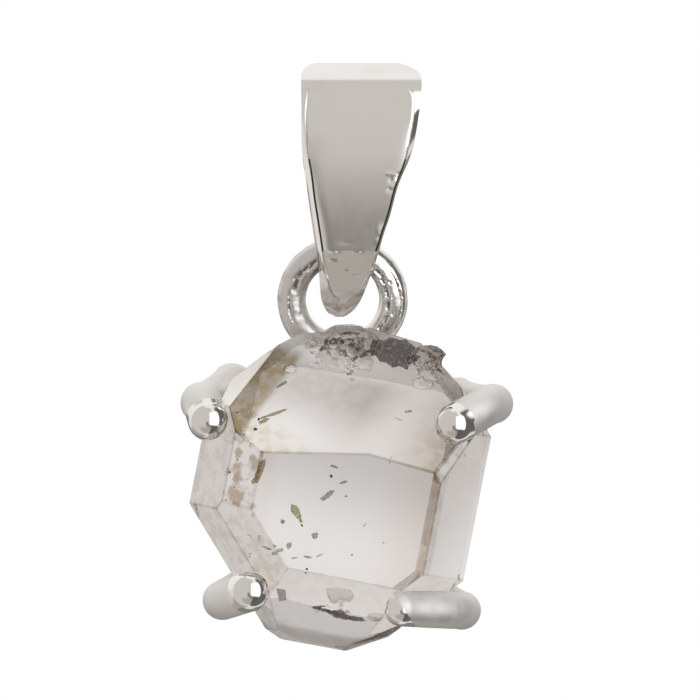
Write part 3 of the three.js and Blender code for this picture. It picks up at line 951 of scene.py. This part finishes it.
def bent_line(start, middle, end, steps):
    """Points on a quadratic curve, without its last one."""
    return [start.lerp(middle, t).lerp(middle.lerp(end, t), t) for t in even_steps(steps)[:-1]]


def domed(start, end, steps):
    """Points on a plate's line, bowed a little to its left."""
    side = Vector((start.y - end.y, end.x - start.x)).normalized() * 2 * PLATE_DOME
    return bent_line(start, start.lerp(end, 0.5) + side, end, steps)


def ellipse_arc(centre, width, height, start, end, steps):
    turns = [math.radians(start + (end - start) * i / steps) for i in range(steps)]
    return [Vector((width * math.cos(a), centre + height * math.sin(a))) for a in turns]


def bail_lines():
    """Front halves of the outer line and the opening's line, with as many points, from the tip up."""
    chin = Vector((-CHIN_HALF_DEPTH, CHIN_HEIGHT))
    crease = Vector((-CREASE_HALF_DEPTH, 0))
    shoulder = Vector((-BAIL_HALF_DEPTH, BAIL_BEND))
    inner_depth = BAIL_HALF_DEPTH - BAIL_WALL
    seat = BAIL_TOP - BAIL_WALL
    outer = bent_line(Vector((0, BAIL_TIP)), Vector((-TIP_HALF_DEPTH, BAIL_TIP)), chin, steps=24)
    outer += domed(chin, crease, steps=60) + domed(crease, shoulder, steps=180)
    outer += ellipse_arc(BAIL_BEND, BAIL_HALF_DEPTH, BAIL_TOP - BAIL_BEND, start=180, end=90, steps=40)
    inner = ellipse_arc(EYE_HEIGHT, EYE_RADIUS, EYE_RADIUS, start=270, end=180, steps=84)
    inner += domed(Vector((-EYE_RADIUS, EYE_HEIGHT)), Vector((-inner_depth, BAIL_BEND)), steps=180)
    inner += ellipse_arc(BAIL_BEND, inner_depth, seat - BAIL_BEND, start=180, end=90, steps=40)
    outer.append(Vector((0, BAIL_TOP)))
    inner.append(Vector((0, seat)))
    return outer, inner


def mirrored(line):
    return line + [Vector((-point.x, point.y)) for point in line[-2:0:-1]]


def dent_depth(x, height):
    return sum(depth * math.exp(-2 * ((x - at) / width) ** 2 - 2 * ((height - up) / tall) ** 2)
               for at, up, width, tall, depth in DENTS)


def band_fall(width, share, height):
    """Depth of a bevelled band at a share of its width: straight where it is narrow, rounded where wide."""
    kept = min(1.0, max(TONGUE_BAND, (height - CHIN_HEIGHT) / (TONGUE_TOP - CHIN_HEIGHT)),
               max(0.0, (BEND_START - height) / BEND_FADE))
    wide = min(1.0, max(0.0, (width - WIDE_BAND[0]) / (WIDE_BAND[1] - WIDE_BAND[0])))
    straight = BAND_DEPTH * min(1.0, width / NARROW_BAND) * share ** BAND_HOLLOW
    rounded = ROUNDED_DEPTH * BAND_DEPTH * (1 - math.sqrt(1 - (BAND_ROUNDING * share) ** 2))
    return kept * (straight * (1 - wide) + rounded * wide)


def face_side(height, edge, face_edge, way, bottom, groove, roll, margin):
    """Section from an edge of the plate over its band and groove onto the flat face; the way is 1 or -1."""
    foot = face_edge - way * GROOVE_WIDTH
    side = []
    for t in even_steps(steps=6):
        depth = band_fall(abs(foot - edge), 1 - t, height) + BAND_SINK * groove
        side.append((edge * (1 - t) + foot * t, depth, t == 1))
    side.append((face_edge - way * bottom, GROOVE_DEPTH * groove + roll, True))
    for t in even_steps(steps=7):
        side.append((face_edge + way * margin * t, roll * (1 - t) ** 2, t == 0))
    return side


def bail_section(height, wall):
    """Closed section across the plate: (sideways, into the wall, whether it is in a groove)."""
    centre, half = plate_span(height)
    left, right = centre - half, centre + half
    face_left, face_right, groove, left_roll, right_roll = (
        smooth_value(FACE_EDGES, height, column) for column in range(1, 6))
    room = min(LEAST_BAND[0], LEAST_BAND[1] * half)
    face_left = min(max(face_left, left + GROOVE_WIDTH + room), centre)
    face_right = max(min(face_right, right - GROOVE_WIDTH - room), centre)
    margin = min(MARGIN, MARGIN_SHARE * (face_right - face_left))
    section = face_side(height, left, face_left, 1, GROOVE_BOTTOMS[0], groove, left_roll, margin)
    for t in even_steps(FACE_STEPS)[1:-1]:
        section.append((face_left + margin + (face_right - face_left - 2 * margin) * t, 0.0, False))
    section += face_side(height, right, face_right, -1, GROOVE_BOTTOMS[1], groove, right_roll, margin)[::-1]
    back = [(right, INSIDE_EDGE), (right - INSIDE_BEVEL, INSIDE_BEVEL)]
    inside = 2 * half - 2 * INSIDE_EDGE
    back += [(right - INSIDE_EDGE - inside * t, 0.0) for t in even_steps(INSIDE_STEPS)]
    back += [(left + INSIDE_BEVEL, INSIDE_BEVEL), (left, INSIDE_EDGE)]
    return section + [(x, wall - short, False) for x, short in back]


def on_lip(x, height):
    """Whether a point is on the cast lip round the foot of the tongue."""
    left, right = (smooth_value(FACE_EDGES, height, column) for column in (1, 2))
    return height < LIP_TOP and not left - GROOVE_WIDTH < x < right + GROOVE_WIDTH


def make_bail():
    outer, inner = (mirrored(line) for line in bail_lines())
    points, grooved = [], []
    for out_point, in_point in zip(outer, inner):
        wall = (in_point - out_point).length
        inward = (in_point - out_point) / wall
        base, base_half = plate_span(out_point.y)
        for across, depth, in_groove in bail_section(out_point.y, wall):
            if out_point.x < 0 and depth < DENTED_SHARE * wall:
                depth += dent_depth(across, out_point.y)
            spot = out_point + inward * depth
            middle, half = plate_span(spot.y)
            points.append((middle + (across - base) / base_half * half, spot.x, spot.y))
            grooved.append(in_groove and out_point.x < 0 and GROOVE_FOOT < out_point.y < GROOVE_END)
    faces = grid_faces(len(outer), len(points) // len(outer), closed=True)
    plate, tarnish_and_shade, cast, painted_grey = range(4)
    finishes = []
    for face in faces:
        x, _, height = points[face[0]]
        # Groove faces get tarnish and painted shade up to GROOVE_HEAD, and a lighter painted grey shade
        # above it
        if sum(grooved[corner] for corner in face) >= GROOVED_CORNERS:
            finishes.append(tarnish_and_shade if height < GROOVE_HEAD else painted_grey)
        else:
            finishes.append(cast if on_lip(x, height) else plate)
    piece = new_piece("bail_plate", points, faces, "bail", WIRE,
                      [bail_silver, tarnish_and_shade_silver, cast_silver, painted_shade_silver], finishes)
    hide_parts("bail")


make_back_frame()
make_loop()
for claw_node, claw_shape in CLAWS.items():
    make_claw(claw_node, *claw_shape)
make_bail()

# ---- crystal

EDGE_WEAR = 0.022

# Centre and scale of each small crystal that grew on the big one, with its faces parallel to the big one's
GROWTHS = [
    ((0.12, 0.6, 5.56), (0.21, 0.24, 0.152)),
    ((-0.75, 0.75, 5.42), (0.13, 0.2, 0.12)),
    ((0.95, 0.7, 5.62), (0.1, 0.2, 0.1)),
    ((3.4, 0.42, 5.14), (0.13, 0.16, 0.085)),
]

# Sideways place, height and width of each chip on the front
CHIPS = [
    (-0.45, 5.6, 0.8), (0.45, 5.3, 0.7), (0.95, 5.6, 0.8), (0.25, 4.75, 0.3), (0.4, 4.5, 0.25),
    (-2.05, 5.25, 0.7), (3.35, 4.75, 0.8), (-3.95, 2.2, 0.6), (4.02, 0.5, 0.5),
    (3.35, -3.6, 0.5), (-0.2, -4.9, 0.9), (1.3, -5.55, 0.6),
]
CHIP_DEPTH = 0.2  # of the chip's half width
CHIP_ROUGHNESS = 0.16
CHIP_WAVES = 1.7  # features of the noise across a chip
CHIP_NOISE = (0.7, 2.2, 3)  # how its octaves fade, their step, and their number
CHIP_SHIFT = 3  # places the noise of each chip elsewhere
ETCHED_FACES = [  # frosted faces behind and at the two ends
    "upper_back", "upper_back_left", "upper_back_right", "lower_back", "lower_back_left", "lower_back_right",
    "ridge_left", "ridge_top", "ridge_right", "blunt_left", "blunt_end", "blunt_right",
]
BROKEN_BELOW = -0.012  # a face of the mesh this far inside the crystal's planes is a break
GROWN_ABOVE = 0.02  # and this far outside them it belongs to a growth

# Fields of small chips: sideways and upward limits, number, and least and greatest width
CHIP_FIELDS = [
    ((-1.3, 1.1), (5.2, 6.0), 30, (0.15, 0.45)),
    ((3.0, 4.2), (4.3, 5.2), 12, (0.15, 0.35)),
    ((-1.0, 0.6), (-5.2, -4.9), 6, (0.25, 0.5)),
    ((-4.5, -3.3), (0.4, 3.2), 8, (0.2, 0.4)),
    ((-4.6, -3.4), (-3.0, -0.4), 6, (0.2, 0.35)),
    ((4.1, 5.2), (-3.8, 1.9), 4, (0.15, 0.3)),
]


def convex_body():
    """The body within the crystal's planes, in millimetres, with its edges worn."""
    bm = bmesh.new()
    bmesh.ops.create_cube(bm, size=40)
    for normal, distance in PLANES.values():
        cut = bmesh.ops.bisect_plane(bm, geom=bm.verts[:] + bm.edges[:] + bm.faces[:], clear_outer=True,
                                     plane_co=normal * distance, plane_no=normal)
        rim = [part for part in cut["geom_cut"] if isinstance(part, bmesh.types.BMEdge)]
        if rim:
            bmesh.ops.contextual_create(bm, geom=rim)
    bmesh.ops.remove_doubles(bm, verts=bm.verts[:], dist=0.004)
    bmesh.ops.recalc_face_normals(bm, faces=bm.faces[:])
    bmesh.ops.bevel(bm, geom=bm.edges[:], offset=EDGE_WEAR, segments=2, profile=0.5, affect="EDGES",
                    clamp_overlap=True)
    return bm


def chip_ball(x, z, width):
    """An uneven ball that takes a shallow shell off the front of the stone."""
    half, depth = width / 2, CHIP_DEPTH * width / 2
    radius = (half ** 2 + depth ** 2) / (2 * depth)
    bm = bmesh.new()
    bmesh.ops.create_icosphere(bm, subdivisions=3, radius=radius)
    centre = Vector((x, resting_depth(x, z, radius - depth), z))
    for vert in bm.verts:
        wave = noise.fractal(vert.co * (CHIP_WAVES / width) + CHIP_SHIFT * centre, *CHIP_NOISE)
        vert.co += vert.co.normalized() * wave * CHIP_ROUGHNESS * width
        vert.co += centre
    return bm


def cut_and_joined(body, cutters, growths):
    """A new mesh: the body joined with the growths, less the cutters; all of them are used up."""
    for tool, operation in [(g, "UNION") for g in growths] + [(c, "DIFFERENCE") for c in cutters]:
        modifier = body.modifiers.new(tool.name, "BOOLEAN")
        modifier.object = tool
        modifier.operation = operation
        modifier.solver = "MANIFOLD"
    graph = bpy.context.evaluated_depsgraph_get()
    mesh = bpy.data.meshes.new_from_object(body.evaluated_get(graph))
    for used in [body, *cutters, *growths]:
        bpy.data.objects.remove(used)
    return mesh


def make_crystal():
    body = object_from("body", convex_body())
    growths = []
    for centre, scale in GROWTHS:
        bm = convex_body()
        for vert in bm.verts:
            vert.co = Vector(centre) + vert.co * Vector(scale)
        growths.append(object_from("growth", bm))
    chips = list(CHIPS)
    for *limits, count, widths in CHIP_FIELDS:
        chips += [[random.uniform(*pair) for pair in (*limits, widths)] for _ in range(count)]
    mesh = cut_and_joined(body, [object_from("chip", chip_ball(*chip)) for chip in chips], growths)
    clear, broken, grown, etched = range(4)
    finishes = []
    for face in mesh.polygons:
        height, nearest = max((normal.dot(face.center) - distance, name)
                              for name, (normal, distance) in PLANES.items())
        whole = etched if nearest in ETCHED_FACES else clear
        finishes.append(broken if height < BROKEN_BELOW else grown if height > GROWN_ABOVE else whole)
    mesh.transform(Matrix.Translation(STONE) @ Matrix.Scale(MM, 4))
    quartz = [clear_quartz, broken_quartz, smoky_quartz, etched_quartz]
    piece = finish_piece("quartz_crystal", mesh, "setting", quartz, finishes, sharp=9)
    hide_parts("crystal")


# Inclusions: sideways place, height, depth under the surface, length, width and thickness, angle in degrees
CARBON_SPECKS = [
    (-0.42, 0.44, 0.9, 0.12, 0.1, 0.08, 20), (-3.32, 2.66, 0.25, 0.14, 0.1, 0.08, 70),
    (-3.45, 2.26, 0.25, 0.16, 0.13, 0.08, 10), (-1.6, -1.5, 1.0, 0.12, 0.07, 0.06, -60),
    (-3.2, 2.5, 0.3, 0.3, 0.03, 0.03, 60), (-2.36, -1.36, 1.3, 0.06, 0.05, 0.05, 0),
    (0.4, -2.68, 1.1, 0.1, 0.05, 0.04, 30), (1.64, -2.2, 1.2, 0.09, 0.03, 0.03, -30),
    (-4.4, 0.6, 0.3, 0.08, 0.07, 0.06, 0), (-4.25, 0.0, 0.3, 0.06, 0.06, 0.05, 0),
    (-4.55, -0.5, 0.3, 0.07, 0.05, 0.05, 0), (-4.1, 1.1, 0.3, 0.08, 0.05, 0.05, 40),
    (1.9, 1.0, 0.8, 0.08, 0.03, 0.03, 70), (-1.4, -3.24, 0.6, 0.1, 0.08, 0.05, 10),
]
FLUID_POCKETS = [
    (-0.58, -0.32, 1.0, 0.62, 0.2, 0.08, 37), (-0.3, 0.82, 0.9, 0.3, 0.1, 0.05, -20),
    (0.06, 0.2, 0.9, 0.34, 0.1, 0.05, 15), (0.16, -0.34, 0.9, 0.12, 0.08, 0.05, 0),
    (-1.08, -1.92, 1.2, 0.26, 0.22, 0.06, 0), (-2.36, -1.36, 1.2, 0.18, 0.16, 0.06, 0),
    (-2.8, -2.3, 0.8, 0.4, 0.12, 0.05, -15), (-2.5, -2.5, 0.8, 0.3, 0.14, 0.05, 20),
    (-2.1, -2.3, 0.8, 0.26, 0.2, 0.06, 60), (-1.36, -2.76, 0.7, 0.34, 0.1, 0.05, -10),
    (-1.9, -2.8, 0.7, 0.3, 0.05, 0.04, 10), (-0.9, -2.7, 0.7, 0.3, 0.05, 0.04, 25),
    (2.2, 2.6, 0.5, 0.4, 0.03, 0.03, -20), (2.6, 2.9, 0.5, 0.3, 0.1, 0.04, 10),
    (-2.4, 4.0, 0.4, 0.5, 0.12, 0.05, 35), (0.9, -1.5, 1.1, 0.2, 0.04, 0.03, 50),
]
IRON_FLECKS = [
    (-1.84, -0.95, 1.0, 0.62, 0.28, 0.14, -62), (-1.66, -1.3, 1.0, 0.24, 0.12, 0.08, -60),
    (-3.22, 0.72, 0.35, 0.85, 0.2, 0.1, 72), (-3.4, 0.3, 0.35, 0.4, 0.16, 0.08, 40),
    (-2.72, 2.88, 0.2, 1.2, 0.13, 0.08, 22), (-3.1, 2.62, 0.2, 0.5, 0.16, 0.08, 30),
]
DARK_FILMS = [
    (-0.3, 5.8, 0.22, 0.7, 0.3, 0.05, 10), (0.5, 5.6, 0.2, 0.5, 0.26, 0.05, -20),
    (0.95, 5.3, 0.2, 0.5, 0.2, 0.05, 30), (0.25, 5.95, 0.2, 0.5, 0.16, 0.05, 0),
    (-0.75, 5.5, 0.2, 0.4, 0.14, 0.05, 40), (0.05, 5.35, 0.2, 0.34, 0.16, 0.05, -30),
    (0.5, 5.1, 0.2, 0.36, 0.14, 0.05, 50), (0.7, 5.9, 0.2, 0.4, 0.2, 0.05, -10),
    (-0.62, -4.86, 0.2, 1.0, 0.16, 0.05, -14), (-0.1, -5.02, 0.2, 0.9, 0.34, 0.05, -14),
    (0.5, -5.18, 0.2, 0.7, 0.22, 0.05, -8), (3.4, 4.9, 0.2, 0.4, 0.1, 0.05, 20),
    (3.9, 4.6, 0.2, 0.3, 0.12, 0.05, -40), (-0.9, -4.7, 0.2, 0.5, 0.1, 0.05, 10),
    (3.6, 5.3, 0.2, 0.24, 0.1, 0.05, 0),
]

# Corners of the flat films, sideways and up, and their depth under the surface
# The dark flat films are painted shade: dark sheets put where the stone only looks dark, at the top right
# and along the bottom
SHADE_FACETS = [
    ([(1.1, 5.5), (1.25, 5.86), (1.7, 5.8), (1.9, 5.95), (2.3, 5.82), (2.55, 5.85), (2.95, 5.5), (2.85, 5.4),
      (3.15, 5.3), (2.95, 4.95), (2.7, 4.85), (2.6, 4.62), (2.3, 4.78), (2.0, 4.72), (1.75, 4.92),
      (1.5, 4.95), (1.35, 5.2), (1.2, 5.25)], 0.2),
    ([(0.45, -6.3), (1.3, -6.02), (2.3, -5.62), (2.3, -5.46), (1.3, -5.84), (0.45, -6.16)], 0.1),
]
GREY_FACETS = [([(-2.6, -3.98), (-2.24, -4.04), (-2.2, -4.46), (-2.5, -4.5)], 0.12)]
FILM_THICKNESS = 0.03
LUMP_SIZE = 0.5  # how much the lumps change a grain
LUMP_SCALE = 2.6
LUMP_NOISE = (0.8, 2.0, 3)  # how its octaves fade, their step, and their number
LUMP_SHIFT = 5  # places the noise of each grain elsewhere

# Fields of shining cracks: sideways and upward limits, number, and least and greatest length
SHINE_FIELDS = [
    ((-0.4, 0.9), (5.2, 5.9), 12, (0.12, 0.34)),
    ((0.2, 0.55), (4.4, 5.1), 5, (0.1, 0.26)),
    ((2.9, 3.9), (4.5, 5.2), 7, (0.1, 0.26)),
]
CRACK_DEPTH = 0.1
CRACK_SHAPE = (0.6, 0.5)  # width and thickness, as shares of the length


def fleck(x, z, depth, length, width, thickness, angle):
    """An uneven flattened grain under the front of the stone."""
    bm = bmesh.new()
    bmesh.ops.create_icosphere(bm, subdivisions=3, radius=0.5)
    centre = Vector((x, resting_depth(x, z, -depth), z))
    turn = Matrix.Rotation(-math.radians(angle), 3, "Y")
    for vert in bm.verts:
        lump = 1 + LUMP_SIZE * noise.fractal(vert.co * LUMP_SCALE + LUMP_SHIFT * centre, *LUMP_NOISE)
        local = vert.co * lump
        vert.co = centre + turn @ Vector((local.x * length, local.y * thickness, local.z * width))
    return bm


def flat_film(corners, depth):
    """A thin film under the front of the stone."""
    bm = bmesh.new()
    rim = [bm.verts.new((x, resting_depth(x, z, -depth), z)) for x, z in corners]
    sheet = bm.faces.new(rim)
    solid = bmesh.ops.extrude_face_region(bm, geom=[sheet], use_keep_orig=True)
    bmesh.ops.translate(bm, vec=(0, FILM_THICKNESS, 0),
                        verts=[part for part in solid["geom"] if isinstance(part, bmesh.types.BMVert)])
    bmesh.ops.triangulate(bm, faces=bm.faces[:])
    bmesh.ops.recalc_face_normals(bm, faces=bm.faces[:])
    return bm


def make_inclusions(name, grains, material):
    joined = bmesh.new()
    for grain in grains:
        mesh = bpy.data.meshes.new(name)
        grain.to_mesh(mesh)
        grain.free()
        joined.from_mesh(mesh)
        bpy.data.meshes.remove(mesh)
    mesh = bpy.data.meshes.new(name)
    joined.to_mesh(mesh)
    joined.free()
    mesh.transform(Matrix.Translation(STONE) @ Matrix.Scale(MM, 4))
    finish_piece(name, mesh, "setting", [material], sharp=60)


def shining_cracks():
    grains = []
    for across, up, count, lengths in SHINE_FIELDS:
        for _ in range(count):
            length = random.uniform(*lengths)
            width, thickness = (length * share for share in CRACK_SHAPE)
            grains.append(fleck(random.uniform(*across), random.uniform(*up), CRACK_DEPTH, length, width,
                                thickness, random.uniform(0, 180)))
    return grains


make_crystal()
make_inclusions("shining_cracks", shining_cracks(), crack_shine)
for name, flecks, films, material in (
        ("carbon_specks", CARBON_SPECKS, [], carbon),
        ("fluid_pockets", FLUID_POCKETS, GREY_FACETS, grey_fluid),
        ("iron_flecks", IRON_FLECKS, [], iron_stain),
        ("dark_films_and_shade", DARK_FILMS, SHADE_FACETS, dark_film_and_shade)):
    make_inclusions(name, [fleck(*row) for row in flecks] + [flat_film(*row) for row in films], material)

for name, node in frame["nodes"].items():
    node.data.materials.clear()
    node.data.materials.append(clear_quartz if name == "crystal" else bail_silver)
